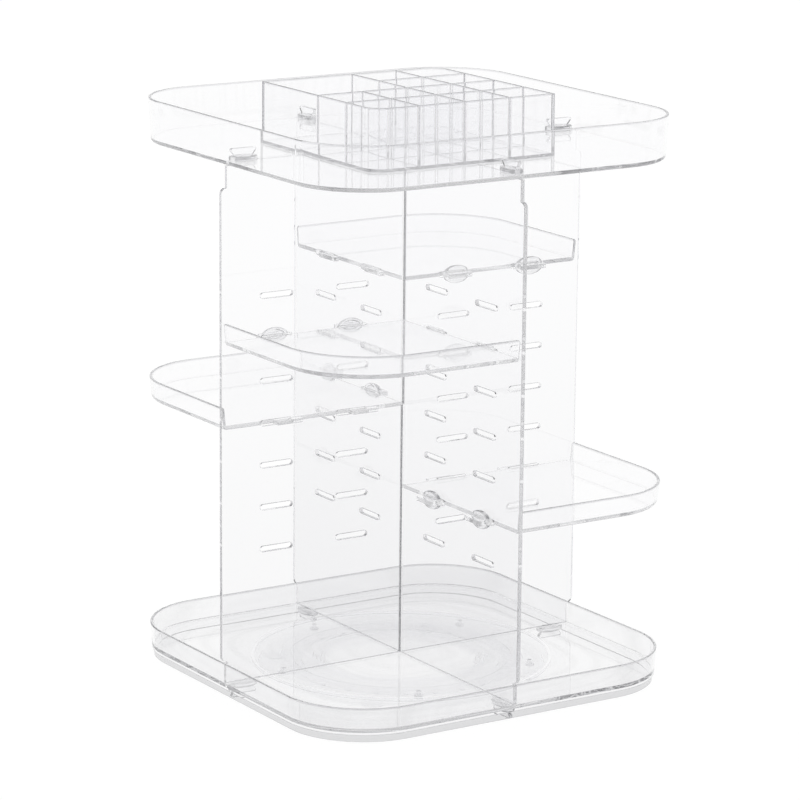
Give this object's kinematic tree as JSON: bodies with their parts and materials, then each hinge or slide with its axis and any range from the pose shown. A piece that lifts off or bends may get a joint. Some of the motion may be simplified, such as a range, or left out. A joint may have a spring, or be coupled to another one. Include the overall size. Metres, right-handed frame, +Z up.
{
  "type": "rotating cosmetics box",
  "caption": "Clear turning cosmetics tower: trays and corner shelves on crossed panels, with a lipstick organiser on top.",
  "frame": {"origin": "on the turning axis, at the surface that the rubber feet stand on", "axes": "+Z up along the turning axis; one crossed panel runs along X, the other along Y"},
  "size_m": [0.2312, 0.2312, 0.3298],
  "materials": {
    "trays": "clear moulded plastic, polished",
    "panels": "clear plastic sheet, polished",
    "shelves": "clear moulded plastic, polished",
    "organiser": "clear moulded plastic, polished",
    "turntable": "clear moulded plastic",
    "cage": "clear moulded plastic",
    "pins": "clear moulded plastic",
    "balls": "clear plastic beads",
    "lock_rings": "translucent soft plastic",
    "feet": "translucent soft plastic"
  },
  "bodies": {
    "stand": {"turntable_lower_ring": "turntable", "foot_pad_1": "feet", "foot_pad_2": "feet", "foot_pad_3": "feet", "foot_pad_4": "feet"},
    "ball_race": {"ball_cage": "cage", "bearing_balls": "balls"},
    "tower": {"turntable_upper_ring": "turntable", "turntable_pins": "pins", "base_tray": "trays", "cross_panel_x": "panels", "cross_panel_y": "panels", "top_tray": "trays", "shelf_front": "shelves", "shelf_right": "shelves", "shelf_back": "shelves", "shelf_left": "shelves", "shelf_front_ring_outer": "lock_rings", "shelf_front_ring_inner": "lock_rings", "shelf_right_ring_outer": "lock_rings", "shelf_right_ring_inner": "lock_rings", "shelf_back_ring_outer": "lock_rings", "shelf_back_ring_inner": "lock_rings", "shelf_left_ring_outer": "lock_rings", "shelf_left_ring_inner": "lock_rings", "top_tray_ring_right": "lock_rings", "top_tray_ring_back": "lock_rings", "top_tray_ring_left": "lock_rings", "top_tray_ring_front": "lock_rings", "base_tray_ring_right": "lock_rings", "base_tray_ring_back": "lock_rings", "base_tray_ring_left": "lock_rings", "base_tray_ring_front": "lock_rings"},
    "organiser": {"lipstick_organiser": "organiser"}
  },
  "joints": [
    {"name": "tower_spin", "type": "hinge", "parent": "stand", "child": "tower", "pos_m": [0, 0, 0.00475], "axis": [0, 0, 1], "continuous": true},
    {"name": "ball_roll", "type": "hinge", "parent": "stand", "child": "ball_race", "pos_m": [0, 0, 0.00475], "axis": [0, 0, 1], "continuous": true},
    {"name": "organiser_lift", "type": "slide", "parent": "tower", "child": "organiser", "axis": [0, 0, 1], "range_m": [0, 0.06]}
  ],
  "couplings": [
    {"joint": "ball_roll", "follows": "tower_spin", "ratio": 0.5}
  ]
}
